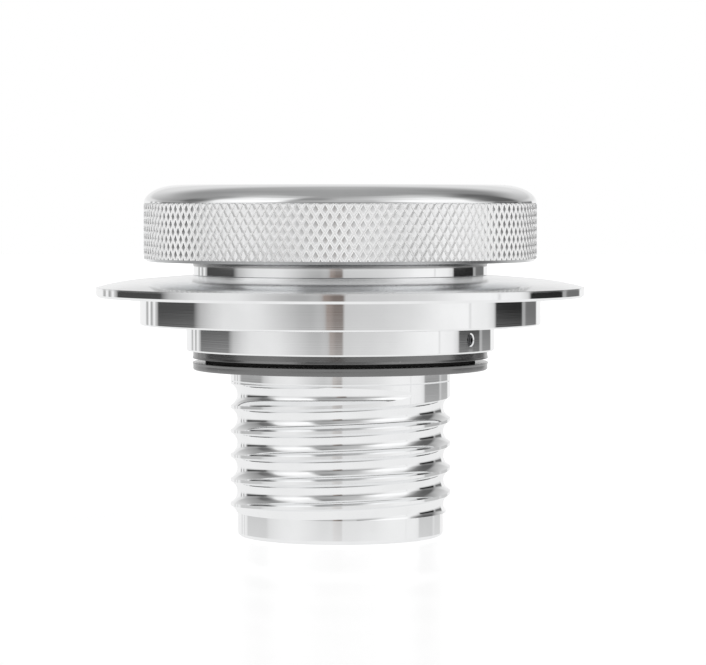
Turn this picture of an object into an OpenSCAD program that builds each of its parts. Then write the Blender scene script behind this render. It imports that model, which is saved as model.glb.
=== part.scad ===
// Screw-on fuel filler cap on a domed flange, with a barbed hose neck below it.
// The part stands on the end of its hose neck. +Z is up and the front is towards -Y.
// Each piece is one turned, moulded or machined part, as it comes apart on a bench.

/* [Cap] */
// Diameter over the tips of the knurled rim
cap_d = 72.4; // [68:0.2:80]
// Height of the knurled band
knurl_h = 10; // [7:0.5:14]
// Spacing of the knurl round the rim
knurl_pitch = 1.66; // [1.5:0.02:2.6]
// Depth of the knurl's valleys below its tips
knurl_depth = 0.4; // [0.2:0.05:0.8]
// Slant of the knurl's valleys from the axis
knurl_angle = 30; // [25:1:35]
// Height of the polished crown above the knurl
crown_h = 3.5; // [2.4:0.1:4.5]
// How far the crown's rounded edge reaches inwards
crown_reach = 6.6; // [4:0.2:9]
// Step from the knurl's tips in to the crown
crown_step = 0.05; // [0.05:0.05:0.25]
// Bevel between the knurl and the underside
rim_bevel = 0.55; // [0.3:0.05:0.9]
// Thickness of the cap's top
cap_top_t = 5; // [3:0.5:7]
// Width of the shoulder's face outside its O-ring's groove
shoulder_land = 1.43; // [0.9:0.01:3]
// Height of the shoulder
shoulder_h = 2.35; // [2:0.05:3.5]
// Fillet between the shoulder and the underside
shoulder_fillet = 0.45; // [0.2:0.05:0.8]
// Bevel on the shoulder's lower edge
shoulder_break = 0.2; // [0.1:0.05:0.3]
// Length of the threaded plug below the shoulder
plug_len = 6.1; // [5:0.1:6.4]
// Wall of the hollow plug
plug_wall = 3.2; // [2:0.1:5]
// Bevel in the closed end of the hollow plug
cavity_bevel = 1; // [0.5:0.1:2]

/* [Filler flange] */
// Diameter of the flange
flange_d = 90; // [84:0.5:110]
// Thickness of the flange's rim
rim_t = 1.8; // [1.4:0.05:3]
// Slope of the flange's top near the cap
dome_slope = 4.6; // [2:0.1:7]
// Radius at which the flange's top falls away to the rim
dome_r = 49.5; // [35:0.5:80]
// Width of the falling edge
dome_edge = 8.7; // [5:0.1:10]
// Flat seat outside the shoulder
seat_margin = 0.5; // [0.2:0.1:1]
// Bevel on the lower edge of the rim
rim_break = 0.45; // [0.2:0.05:0.6]
// Diameter of the upper tier, which fits the hole in the panel
tier1_d = 73.9; // [66:0.1:80]
// Height of the upper tier
tier1_h = 5.1; // [4:0.1:9]
// Diameter of the lower tier
tier2_d = 56.8; // [55.4:0.1:62]
// Height of the lower tier
tier2_h = 4.75; // [4.4:0.05:8]
// Bevel on the lower edges of both tiers
tier_break = 0.35; // [0.15:0.05:0.5]
// Bevel at the mouth that the cap's plug goes into
mouth_bevel = 1.4; // [0.8:0.1:1.6]
// Thickness of the ledge between the cap's bore and the neck's bore
ledge_t = 1.2; // [0.8:0.1:2]
// Hole through the ledge
ledge_hole_d = 38; // [36:0.5:38.5]

/* [Threads] */
// Outer diameter of the cap's thread
cap_thread_d = 48; // [46:0.1:48.4]
// Outer diameter of the neck's thread
neck_thread_d = 46; // [43:0.1:47]
// Bevel at the start of a thread
thread_bevel = 0.5; // [0.3:0.05:0.8]

/* [Hose neck] */
// Length of the neck below the gaskets
neck_len = 30.7; // [26:0.1:50]
// Diameter over the barb's crests
crest_d = 40.6; // [39:0.1:42]
// Diameter of the plain end
end_d = 37.9; // [36.5:0.1:38]
// Height of the plain end
end_h = 4.4; // [3:0.1:6]
// Rounding of the end's lower edge
end_round = 0.75; // [0.3:0.05:1]
// Bevel on the edge of the lowest crest
crest_break = 0.2; // [0.1:0.05:0.3]
// Wall of the neck under the barb's groove
neck_wall = 2.55; // [1.8:0.05:4]
// Depth of the turned mark below the gaskets
mark_drop = 1.95; // [0.8:0.05:4]
// Width of the turned mark
mark_w = 0.28; // [0.2:0.02:0.4]
// Depth of the turned mark
mark_depth = 0.1; // [0.06:0.02:0.2]
// Diameter of the hub inside the gaskets
hub_d = 48.4; // [47.6:0.1:49]
// How far the hub's lip stands out under the lower gasket
lip_w = 1.2; // [0.5:0.1:1.6]
// Thickness of the hub's lip
lip_t = 0.7; // [0.5:0.05:0.9]

/* [Barb groove] */
// Depth of the barb's groove
groove_depth = 1.25; // [0.8:0.05:1.4]
// Radius of the round tool that cuts the groove
groove_r = 2; // [1.6:0.05:2.1]
// Rise of the groove in one turn
groove_pitch = 4.5; // [4.3:0.05:6]
// Drop from the turned mark to the groove's helix, at the front
groove_drop = 1.56; // [1.4:0.02:4]
// Where the groove starts, round from the front to the right
groove_start_az = 41; // [0:1:90]
// Angle over which the groove runs in to its full depth
groove_lead_in = 126; // [60:2:180]
// How far the groove's start hangs below its helix
groove_lag = 0.87; // [0:0.01:1.2]

/* [Seals] */
// Outer diameter of both rubber gaskets
gasket_d = 54.6; // [53.4:0.1:55.2]
// Thickness of each gasket
gasket_t = 1.5; // [1.3:0.05:3]
// Gap between the two gaskets
gasket_gap = 0.55; // [0.3:0.05:1.2]
// Rounding of the gaskets' edges
gasket_round = 0.15; // [0.05:0.05:0.3]
// Cross-section of the O-ring under the cap's shoulder
cap_ring_t = 1.6; // [1.3:0.1:1.8]
// Height of that O-ring's centre above the shoulder's face
cap_ring_rise = 0.6; // [0.5:0.05:0.7]
// Cross-section of the O-ring at the neck's joint
neck_ring_t = 1.6; // [1.3:0.1:1.8]

/* [Set screw] */
// Diameter of the set screw that locks the neck
screw_d = 2; // [1.6:0.1:2.4]
// Countersink at the mouth of its hole
screw_sink_d = 2.8; // [2.5:0.1:3]
// Hexagon socket across its flats
screw_socket = 0.9; // [0.7:0.1:1]
// Depth of the screw's head below the surface
screw_recess = 1.6; // [0.6:0.1:1.8]
// Direction of the set screw, round from +X
screw_az = -32.5; // [-180:0.5:180]
// Height of the screw's hole above the lower tier's face
screw_rise = 2.5; // [2:0.1:3]

/* [Clearances] */
// Radial clearance of both threads
thread_fit = 0.08; // [0.04:0.01:0.1]
// Gap left under the cap's shoulder when it is screwed down
seat_gap = 0.2; // [0.1:0.05:0.4]
// Gap between the end of the cap's plug and the ledge
plug_gap = 0.7; // [0.3:0.05:1]
// Gap between the neck's top and the ledge
neck_gap = 0.15; // [0.05:0.05:0.3]
// Clearance round an O-ring in its groove
ring_fit = 0.05; // [0.02:0.01:0.1]
// Clearance between a gasket and the hub
gasket_fit = 0.05; // [0.02:0.01:0.1]
// Radial clearance of the set screw in its hole
screw_fit = 0.05; // [0.02:0.01:0.1]

/* [Hidden] */
$fn = 96;

// Heights above the end of the neck
gasket_z = neck_len;
upper_gasket_z = gasket_z + gasket_t + gasket_gap;
tier2_z = upper_gasket_z + gasket_t;
tier1_z = tier2_z + tier2_h;
flange_z = tier1_z + tier1_h;
rim_z = flange_z + rim_t;

// Bores and threads
plug_r = cap_thread_d / 2 - thread_fit;
mouth_r = cap_thread_d / 2;
cavity_r = plug_r - plug_wall;
neck_thread_r = neck_thread_d / 2 - thread_fit;
socket_r = neck_thread_d / 2;
ledge_r = ledge_hole_d / 2;

// O-ring of the cap, in a groove at the root of the plug, and the shoulder round it
cap_ring_r = cap_ring_t / 2;
cap_ring_mid_r = plug_r + ring_fit + cap_ring_r;
cap_groove_r = cap_ring_mid_r + cap_ring_r + 2 * ring_fit;
shoulder_r = cap_groove_r + shoulder_land;

// The flange's top: a cone from the seat, then an arc that falls away to the rim
flange_r = flange_d / 2;
tier1_r = tier1_d / 2;
tier2_r = tier2_d / 2;
seat_r = shoulder_r + seat_margin;
dome_start_r = flange_r - dome_edge;
edge_slope = asin(sin(dome_slope) + dome_edge / dome_r);
edge_drop = dome_r * (cos(dome_slope) - cos(edge_slope));
dome_start_z = rim_z + edge_drop;
seat_z = dome_start_z + (dome_start_r - seat_r) * tan(dome_slope);

// Heights of the cap, screwed down on its seat, and of the ledge under its plug
shoulder_z = seat_z + seat_gap;
under_z = shoulder_z + shoulder_h;
knurl_z = under_z + rim_bevel;
crown_z = knurl_z + knurl_h;
top_z = crown_z + crown_h;
plug_z = shoulder_z - plug_len;
ledge_z = plug_z - plug_gap;
ledge_under_z = ledge_z - ledge_t;
cap_ring_z = shoulder_z + cap_ring_rise;
cap_groove_z = cap_ring_z + cap_ring_r + ring_fit;

// The knurl: tips and valley crossings alternate over a grid of columns and rows
tip_r = cap_d / 2;
valley_r = tip_r - knurl_depth;
crown_r = tip_r - crown_step;
knurl_teeth = round(PI * cap_d / knurl_pitch);
knurl_rows = max(3, round(knurl_h / (knurl_pitch / 2 / tan(knurl_angle))));
knurl_backing = 0.3;
knurl_root = 1.2;
core_r = valley_r - knurl_backing;
inner_r = core_r - knurl_root;

// O-ring of the neck, in a rebate at the neck's top
neck_ring_r = neck_ring_t / 2;
neck_top_z = ledge_under_z - neck_gap;
neck_ring_mid_r = neck_thread_r - ring_fit - neck_ring_r;
neck_ring_z = ledge_under_z - ring_fit - neck_ring_r;
rebate_r = neck_ring_mid_r - neck_ring_r - ring_fit;
rebate_z = neck_ring_z - neck_ring_r - ring_fit;

// Hose neck, and the groove that runs out through the shoulder of its plain end
crest_r = crest_d / 2;
bore_r = crest_r - groove_depth - neck_wall;
end_r = end_d / 2;
hub_r = hub_d / 2;
lip_r = hub_r + lip_w;
mark_z = neck_len - mark_drop;
groove_front_z = mark_z - groove_drop;
groove_end_z = end_h - groove_r;
groove_steps = 36;

// Set screw
screw_r = screw_d / 2;
screw_z = tier2_z + screw_rise;
screw_tip_gap = 0.02;
screw_tip_r = neck_thread_r + screw_tip_gap;
screw_len = tier2_r - screw_recess - screw_tip_r;

// Points on an arc about [x, z], from angle a to angle b
function arc(x, z, r, a, b, n = 8) =
    [for (i = [0:n]) let (t = a + (b - a) * i / n) [x + r * cos(t), z + r * sin(t)]];

// Points on the crown's quarter ellipse, from the side up to the top
function crown_edge(n = 14) =
    [for (i = [0:n]) let (t = 90 * i / n)
        [crown_r - crown_reach * (1 - cos(t)), crown_z + crown_h * sin(t)]];

// Points on the flange's falling edge, from the rim in to the cone
function falling_edge(n = 8) =
    [for (i = [1:n]) let (t = edge_slope + (dome_slope - edge_slope) * i / n)
        [dome_start_r + dome_r * (sin(t) - sin(dome_slope)),
         dome_start_z - dome_r * (cos(dome_slope) - cos(t))]];

// Radius of a knurl vertex: a tip where column and row differ in parity
function knurl_vertex_r(i, j) = (i + j) % 2 == 0 ? valley_r : tip_r;

// A solid turned from its half section, given as [radius, height] points
module turned(section) {
    rotate_extrude() polygon(section);
}

// Diamond knurl as a ring of four-sided points with V valleys between them
module knurl_band() {
    n = 2 * knurl_teeth;
    m = knurl_rows;
    row = knurl_h / m;
    outer = [for (j = [0:m]) for (i = [0:n - 1]) let (a = 360 * i / n, r = knurl_vertex_r(i, j))
        [r * cos(a), r * sin(a), knurl_z + j * row]];
    inner = [for (j = [0, m]) for (i = [0:n - 1]) let (a = 360 * i / n)
        [inner_r * cos(a), inner_r * sin(a), knurl_z + j * row]];
    base = (m + 1) * n;
    // Each cell of the grid is split along the edge between its two valley crossings
    cells = [for (j = [0:m - 1]) for (i = [0:n - 1])
        let (a = j * n + i, b = j * n + (i + 1) % n, c = b + n, d = a + n)
        each (i + j) % 2 == 0 ? [[a, c, b], [a, d, c]] : [[a, d, b], [b, d, c]]];
    bottom = [for (i = [0:n - 1]) let (k = (i + 1) % n)
        each [[i, k, base + k], [i, base + k, base + i]]];
    top = [for (i = [0:n - 1]) let (k = (i + 1) % n, u = m * n, v = base + n)
        each [[u + i, v + k, u + k], [u + i, v + i, v + k]]];
    wall = [for (i = [0:n - 1]) let (k = (i + 1) % n, u = base, v = base + n)
        each [[u + i, u + k, v + k], [u + i, v + k, v + i]]];
    polyhedron(concat(outer, inner), concat(cells, bottom, top, wall), convexity = 4);
}

// Crown, rim, shoulder and hollow threaded plug, turned from one bar
module cap() {
    cavity_z = top_z - cap_top_t;
    color("gainsboro") {
        turned(concat(
            [[cavity_r, plug_z],
             [plug_r - thread_bevel, plug_z],
             [plug_r, plug_z + thread_bevel],
             [plug_r, cap_groove_z],
             [cap_groove_r, cap_groove_z],
             [cap_groove_r, shoulder_z],
             [shoulder_r - shoulder_break, shoulder_z],
             [shoulder_r, shoulder_z + shoulder_break]],
            arc(shoulder_r + shoulder_fillet, under_z - shoulder_fillet, shoulder_fillet, 180, 90),
            [[crown_r - rim_bevel, under_z],
             [crown_r, knurl_z],
             [core_r, knurl_z],
             [core_r, crown_z]],
            crown_edge(),
            [[0, top_z],
             [0, cavity_z],
             [cavity_r - cavity_bevel, cavity_z],
             [cavity_r, cavity_z - cavity_bevel]]));
        knurl_band();
    }
}

// O-ring under the cap's shoulder
module cap_seal() {
    color("dimgray") rotate_extrude() translate([cap_ring_mid_r, cap_ring_z]) circle(cap_ring_r);
}

// Domed flange with its two tiers, bored for the cap above and for the neck below
module filler_flange() {
    color("gainsboro") difference() {
        turned(concat(
            [[socket_r + thread_bevel, tier2_z],
             [tier2_r - tier_break, tier2_z],
             [tier2_r, tier2_z + tier_break],
             [tier2_r, tier1_z],
             [tier1_r - tier_break, tier1_z],
             [tier1_r, tier1_z + tier_break],
             [tier1_r, flange_z],
             [flange_r - rim_break, flange_z],
             [flange_r, flange_z + rim_break],
             [flange_r, rim_z]],
            falling_edge(),
            [[seat_r, seat_z],
             [mouth_r + mouth_bevel, seat_z],
             [mouth_r, seat_z - mouth_bevel],
             [mouth_r, ledge_z],
             [ledge_r, ledge_z],
             [ledge_r, ledge_under_z],
             [socket_r, ledge_under_z],
             [socket_r, tier2_z + thread_bevel]]));
        screw_hole();
    }
}

// Radial hole for the set screw, with its countersink
module screw_hole() {
    sink = (screw_sink_d - screw_d) / 2;
    overrun = 1;
    rotate([0, 0, screw_az]) translate([0, 0, screw_z]) rotate([0, 90, 0]) {
        translate([0, 0, socket_r - overrun])
            cylinder(h = tier2_r - socket_r + 2 * overrun, r = screw_r + screw_fit);
        translate([0, 0, tier2_r - sink])
            cylinder(h = 2 * sink, r1 = screw_r, r2 = screw_r + 2 * sink);
    }
}

// Cutter for the barb's groove: a round tool carried down a right-hand helix
module groove_cutter() {
    travel = (groove_front_z + groove_pitch * groove_start_az / 360 - groove_end_z) / groove_pitch;
    steps = round(travel * groove_steps);
    flank = 75;
    sides = 7;
    cheek = 0.45;
    skim = 0.001;
    // Section of the tool about its centre: a round nose, closed outside the crests
    nose = [for (k = [0:sides]) let (t = 180 - flank + 2 * flank * k / sides)
        [groove_r * cos(t), groove_r * sin(t)]];
    section = concat(nose, [for (side = [-1, 1]) [groove_r * cheek, groove_r * side * sin(flank)]]);
    w = len(section);
    points = [for (s = [0:steps]) let (
        turned_az = 360 * s / groove_steps,
        in = min(1, turned_az / groove_lead_in),
        az = groove_start_az - turned_az,
        z = groove_front_z + groove_pitch * az / 360 - groove_lag * pow(1 - in, 2),
        r = crest_r + groove_r - groove_depth * sin(90 * in) - skim,
        a = az - 90)
        for (p = section) [(r + p[0]) * cos(a), (r + p[0]) * sin(a), z + p[1]]];
    skin = [for (s = [0:steps - 1]) for (k = [0:w - 1])
        let (a = s * w + k, b = s * w + (k + 1) % w, c = b + w, d = a + w)
        each [[a, c, b], [a, d, c]]];
    first = [for (k = [1:w - 2]) [0, k, k + 1]];
    last = [for (k = [1:w - 2]) let (e = steps * w) [e, e + k + 1, e + k]];
    polyhedron(points, concat(skin, first, last), convexity = 12);
}

// Barbed neck with the hub that carries the gaskets and screws into the flange
module hose_neck() {
    color("gainsboro") difference() {
        turned(concat(
            [[bore_r, 0]],
            arc(end_r - end_round, end_round, end_round, -90, 0),
            [[end_r, end_h],
             [crest_r - crest_break, end_h],
             [crest_r, end_h + crest_break],
             [crest_r, mark_z - mark_w / 2],
             [crest_r - mark_depth, mark_z],
             [crest_r, mark_z + mark_w / 2],
             [crest_r, gasket_z],
             [lip_r, gasket_z],
             [lip_r, gasket_z + lip_t],
             [hub_r, gasket_z + lip_t],
             [hub_r, tier2_z],
             [neck_thread_r, tier2_z],
             [neck_thread_r, rebate_z],
             [rebate_r, rebate_z],
             [rebate_r, neck_top_z],
             [bore_r, neck_top_z]]));
        groove_cutter();
    }
}

// Rubber ring stretched over the hub; a rebate on its underside takes the hub's lip
module gasket(z, rebate = 0) {
    inner = hub_r + gasket_fit;
    outer = gasket_d / 2;
    c = gasket_round;
    lip_inner = lip_r + gasket_fit;
    turned(concat(
        rebate > 0 ? [[lip_inner, z]] : [[inner, z]],
        arc(outer - c, z + c, c, -90, 0, 4),
        arc(outer - c, z + gasket_t - c, c, 0, 90, 4),
        [[inner, z + gasket_t]],
        rebate > 0 ? [[inner, z + rebate], [lip_inner, z + rebate]] : []));
}

module upper_gasket() {
    color("darkslategray") gasket(upper_gasket_z);
}

module lower_gasket() {
    color("darkslategray") gasket(gasket_z, lip_t);
}

// O-ring between the neck's top and the ledge in the flange
module neck_seal() {
    color("dimgray") rotate_extrude() translate([neck_ring_mid_r, neck_ring_z]) circle(neck_ring_r);
}

// Headless screw that locks the neck, with a hexagon socket and a coned point
module set_screw() {
    point = screw_r / 2;
    socket_depth = screw_len / 2;
    color("dimgray") rotate([0, 0, screw_az]) translate([screw_tip_r, 0, screw_z]) rotate([0, 90, 0])
        difference() {
            union() {
                cylinder(h = point, r1 = screw_r - point, r2 = screw_r);
                translate([0, 0, point]) cylinder(h = screw_len - point, r = screw_r);
            }
            translate([0, 0, screw_len - socket_depth])
                cylinder(h = 2 * socket_depth, r = screw_socket / sqrt(3), $fn = 6);
        }
}

cap();
cap_seal();
filler_flange();
hose_neck();
upper_gasket();
lower_gasket();
neck_seal();
set_screw();
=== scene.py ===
"""Looks of a screw-on fuel cap on its filler: polished aluminium, black rubber, white studio.

Every size is in millimetres until the bench turns it into metres. Heights and outer sizes come from
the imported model, and the pieces that replace a node keep its envelope.
"""

import logging
import math
from collections.abc import Callable, Iterable, Sequence
from dataclasses import dataclass, field
from enum import Enum
from functools import cache, reduce
from typing import Protocol

import bmesh
import bpy
from mathutils import Matrix, Vector


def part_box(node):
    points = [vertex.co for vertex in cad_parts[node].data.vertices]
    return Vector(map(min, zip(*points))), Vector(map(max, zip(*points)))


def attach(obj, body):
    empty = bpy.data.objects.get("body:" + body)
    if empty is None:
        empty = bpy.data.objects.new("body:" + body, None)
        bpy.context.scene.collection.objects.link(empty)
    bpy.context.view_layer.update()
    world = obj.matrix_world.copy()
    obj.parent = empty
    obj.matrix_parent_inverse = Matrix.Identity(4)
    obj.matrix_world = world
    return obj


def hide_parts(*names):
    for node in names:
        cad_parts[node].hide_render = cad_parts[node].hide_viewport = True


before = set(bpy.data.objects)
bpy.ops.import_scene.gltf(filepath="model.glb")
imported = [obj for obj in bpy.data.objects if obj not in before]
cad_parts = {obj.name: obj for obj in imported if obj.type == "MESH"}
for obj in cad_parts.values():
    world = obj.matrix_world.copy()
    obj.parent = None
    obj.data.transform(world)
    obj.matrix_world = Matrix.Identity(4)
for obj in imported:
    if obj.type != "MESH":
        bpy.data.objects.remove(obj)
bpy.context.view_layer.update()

LOG = logging.getLogger("fuel_cap")
# One millimetre in the scene's metres.
MM = 0.001
# Steps round a turned piece.
ROUND = 288
FULL_TURN = 2 * math.pi
# Usual break of a turned edge, in mm.
BREAK = 0.1
# A vertex nearer than this to a level, in mm, lies on it.
NEAR = 0.001
# A height, in mm, that no piece reaches.
NOWHERE = 1000.0

Point = tuple[float, float]
Triple = tuple[float, float, float]
Colour = Triple
Piece = bpy.types.Object
Material = bpy.types.Material
Tree = bpy.types.NodeTree
Node = bpy.types.Node
Socket = bpy.types.NodeSocket


class Body(Enum):
    """The rigid bodies that the modelled pieces ride on."""

    FILLER = "filler"
    CAP = "cap"


class Slot(Enum):
    """The record's material slots, one passed with each modelled piece."""

    CAP = "cap_aluminium"
    FLANGE = "flange_aluminium"
    NECK = "neck_aluminium"
    GASKET = "gasket_rubber"
    SCREW = "screw_steel"


def node_reach(name: str) -> Triple:
    """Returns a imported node's lowest and highest level and its half width, in mm."""
    low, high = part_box(name)
    return low.z / MM, high.z / MM, (high.x - low.x) / 2 / MM


@dataclass(frozen=True)
class Levels:
    """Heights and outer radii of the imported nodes, in mm."""

    plug_end: float
    cap_top: float
    cap_radius: float
    tier2_face: float
    seat: float
    flange_radius: float
    neck_top: float
    lip_radius: float
    lower_gasket: Point
    upper_gasket: Point
    gasket_radius: float
    ring_low: float
    ring_high: float
    ring_radius: float

    @classmethod
    def from_frame(cls) -> "Levels":
        """Reads the levels from the nodes' boxes.

        Returns:
            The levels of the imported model.
        """
        plug_end, cap_top, cap_radius = node_reach("cap")
        tier2_face, seat, flange_radius = node_reach("filler_flange")
        _, neck_top, lip_radius = node_reach("hose_neck")
        *upper_gasket, gasket_radius = node_reach("upper_gasket")
        ring_low, ring_high, ring_radius = node_reach("cap_seal")
        return cls(
            plug_end, cap_top, cap_radius, tier2_face, seat, flange_radius, neck_top, lip_radius,
            lower_gasket=node_reach("lower_gasket")[:2],
            upper_gasket=tuple(upper_gasket),
            gasket_radius=gasket_radius,
            ring_low=ring_low,
            ring_high=ring_high,
            ring_radius=ring_radius,
        )


class HalfSection:
    """A turned part's half section, drawn corner by corner as [radius, height]."""

    def __init__(self, arc_points: int = 6) -> None:
        """Starts an empty section.

        Args:
            arc_points: Steps in each rounded corner.
        """
        self.arc_points = arc_points
        self.corners: list[Triple] = []

    def to(self, radius: float, height: float, soft: float = 0.0) -> "HalfSection":
        """Adds a corner.

        Args:
            radius: Distance from the axis.
            height: Height of the corner.
            soft: Radius of the rounding on the corner.

        Returns:
            The section, so that corners can be chained.
        """
        self.corners.append((radius, height, soft))
        return self

    def through(self, points: Iterable[Point]) -> "HalfSection":
        """Adds points of a curve, and returns the section."""
        self.corners.extend((r, z, 0.0) for r, z in points)
        return self

    def _rounded(self, before: Point, corner: Point, after: Point, soft: float) -> list[Point]:
        """Rounds one corner.

        Args:
            before: The corner before it.
            corner: The corner.
            after: The corner after it.
            soft: Radius of the rounding.

        Returns:
            Points along the arc, from the first edge to the second.
        """
        here = Vector(corner)
        one = (Vector(before) - here).normalized()
        two = (Vector(after) - here).normalized()
        half = one.angle(two) / 2
        reach = soft / math.tan(half)
        centre = here + (one + two).normalized() * (soft / math.sin(half))
        start = here + one * reach - centre
        end = here + two * reach - centre
        sweep = math.pi - 2 * half
        found = []
        for share in (i / self.arc_points for i in range(self.arc_points + 1)):
            spoke = start * math.sin(sweep * (1 - share)) + end * math.sin(sweep * share)
            found.append(tuple(centre + spoke / math.sin(sweep)))
        return found

    def points(self, closed: bool = False) -> list[Point]:
        """Works out the section's points.

        Args:
            closed: True where the section comes back to its first corner.

        Returns:
            The points, with each soft corner rounded.
        """
        count = len(self.corners)
        found: list[Point] = []
        for i, (r, z, soft) in enumerate(self.corners):
            inner = closed or 0 < i < count - 1
            if soft and inner:
                before = self.corners[i - 1][:2]
                after = self.corners[(i + 1) % count][:2]
                found.extend(self._rounded(before, (r, z), after, soft))
            else:
                found.append((r, z))
        return found


class Bench:
    """The modelling moves that the pieces share."""

    @staticmethod
    def clear() -> None:
        """Leaves edit mode and deselects everything."""
        if bpy.context.object and bpy.context.object.mode != "OBJECT":
            bpy.ops.object.mode_set(mode="OBJECT")
        bpy.ops.object.select_all(action="DESELECT")

    @staticmethod
    def pick(*pieces: Piece) -> None:
        """Selects pieces and makes the first one active.

        Args:
            pieces: The objects to select.
        """
        Bench.clear()
        for piece in pieces:
            piece.select_set(True)
        bpy.context.view_layer.objects.active = pieces[0]

    @staticmethod
    def edit(piece: Piece) -> None:
        """Goes to edit mode with all of a piece selected.

        Args:
            piece: The object to edit.
        """
        Bench.pick(piece)
        bpy.ops.object.mode_set(mode="EDIT")
        bpy.ops.mesh.select_all(action="SELECT")

    @staticmethod
    def turn(name: str, section: HalfSection, closed: bool = False) -> Piece:
        """Draws a half section by extruding a vertex from point to point, and turns it.

        Args:
            name: Name of the new object.
            section: The half section.
            closed: True where the section is a loop.

        Returns:
            The turned object, in object mode.
        """
        Bench.clear()
        bpy.ops.mesh.primitive_plane_add(size=MM, location=(0, 0, 0))
        piece = bpy.context.object
        piece.name = name
        Bench.edit(piece)
        bpy.ops.mesh.merge(type="CENTER")
        spots = [Vector((r, 0, z)) * MM for r, z in section.points(closed)]
        bpy.ops.transform.translate(value=spots[0])
        for here, there in zip(spots, spots[1:] + (spots[:1] if closed else [])):
            bpy.ops.mesh.extrude_region_move(TRANSFORM_OT_translate={"value": there - here})
        bpy.ops.mesh.select_all(action="SELECT")
        bpy.ops.mesh.spin(steps=ROUND, angle=FULL_TURN, center=(0, 0, 0), axis=(0, 0, 1))
        Bench.close_seams(piece)
        return piece

    @staticmethod
    def close_seams(piece: Piece, within: float = 0.002) -> None:
        """Merges doubles and points the faces outwards.

        Args:
            piece: The object to mend.
            within: Merge distance in mm.
        """
        Bench.edit(piece)
        bpy.ops.mesh.remove_doubles(threshold=within * MM)
        bpy.ops.mesh.normals_make_consistent(inside=False)
        bpy.ops.object.mode_set(mode="OBJECT")

    @staticmethod
    def rod(radius: float, length: float, centre: Vector, turned: Triple, sides: int = 48) -> Piece:
        """Adds a rod.

        Args:
            radius: Its radius in mm.
            length: Its length in mm.
            centre: Its middle in mm.
            turned: Its rotation.
            sides: Its sides.

        Returns:
            The rod, active and in object mode.
        """
        Bench.clear()
        bpy.ops.mesh.primitive_cylinder_add(
            vertices=sides, radius=radius * MM, depth=length * MM,
            location=centre * MM, rotation=turned,
        )
        return bpy.context.object

    @staticmethod
    def cut(piece: Piece, cutter: Piece) -> None:
        """Takes the cutter's shape out of a piece, and the cutter away."""
        Bench.apply(piece, "BOOLEAN", operation="DIFFERENCE", solver="EXACT", object=cutter)
        bpy.data.objects.remove(cutter)

    @staticmethod
    def join(name: str, pieces: Sequence[Piece]) -> Piece:
        """Joins pieces that share their edge loops into one mesh.

        Args:
            name: Name of the joined object.
            pieces: The objects to join.

        Returns:
            The joined object.
        """
        Bench.pick(*pieces)
        bpy.ops.object.join()
        piece = bpy.context.object
        piece.name = name
        piece.data.name = name
        Bench.close_seams(piece)
        return piece

    @staticmethod
    def apply(piece: Piece, kind: str, **settings: object) -> None:
        """Adds a modifier and applies it.

        Args:
            piece: The object to change.
            kind: The modifier's type.
            settings: Values for the modifier.
        """
        Bench.pick(piece)
        modifier = piece.modifiers.new(kind.title(), kind)
        for key, value in settings.items():
            setattr(modifier, key, value)
        bpy.ops.object.modifier_apply(modifier=modifier.name)

    @staticmethod
    def smooth(piece: Piece, angle: float = 28.0) -> Piece:
        """Shades a piece smooth, with its corners kept sharp and its flats kept flat.

        Args:
            piece: The object to shade.
            angle: Edges sharper than this many degrees stay sharp.

        Returns:
            The piece.
        """
        Bench.pick(piece)
        bpy.ops.object.shade_smooth_by_angle(angle=math.radians(angle))
        Bench.apply(piece, "WEIGHTED_NORMAL", keep_sharp=True, weight=100)
        return piece

    @staticmethod
    def select(piece: Piece, test: Callable[[Vector], bool]) -> None:
        """Goes to edit mode with only the vertices selected whose place passes a test.

        Args:
            piece: The object to edit.
            test: Says of a place in mm whether it is wanted.
        """
        Bench.pick(piece)
        bpy.ops.object.mode_set(mode="EDIT")
        bpy.context.tool_settings.mesh_select_mode = (True, False, False)
        bpy.ops.mesh.select_all(action="DESELECT")
        mesh = bmesh.from_edit_mesh(piece.data)
        for vertex in mesh.verts:
            vertex.select_set(test(vertex.co / MM))
        mesh.select_flush(True)
        bmesh.update_edit_mesh(piece.data)


class CuttingTool(Protocol):
    """The section that a tool leaves across its groove."""

    depth: float

    def section(self, depth: float) -> list[Point]:
        """Returns the cut's points as (depth, offset along the axis), from its upper edge down."""


@dataclass(frozen=True)
class RoundTool:
    """A round-nosed tool."""

    depth: float
    radius: float
    steps: int = 12
    guard: float = 0.05

    def section(self, depth: float) -> list[Point]:
        """Works out the round cut at a depth.

        Args:
            depth: How deep the tool is, in mm.

        Returns:
            Points across the groove, from its upper edge down.
        """
        half = math.acos(max(-1.0, min(1.0, (self.radius - depth) / self.radius)))
        angles = (half * (1 - 2 * i / self.steps) for i in range(self.steps + 1))
        cut = [(depth - self.radius * (1 - math.cos(a)), self.radius * math.sin(a)) for a in angles]
        return [(0.0, cut[0][1] + self.guard), *cut, (0.0, cut[-1][1] - self.guard)]


@dataclass(frozen=True)
class ThreadTool:
    """A pointed tool with a small flat, for a fine thread."""

    depth: float
    flat: float = 0.2
    flank: float = 30.0

    def section(self, depth: float) -> list[Point]:
        """Works out the V cut at a depth.

        Args:
            depth: How deep the tool is, in mm.

        Returns:
            Points across the groove, from its upper edge down.
        """
        root = self.flat / 2 * depth / self.depth
        edge = root + depth * math.tan(math.radians(self.flank))
        return [(0.0, edge), (depth, root), (depth, -root), (0.0, -edge)]


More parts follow.
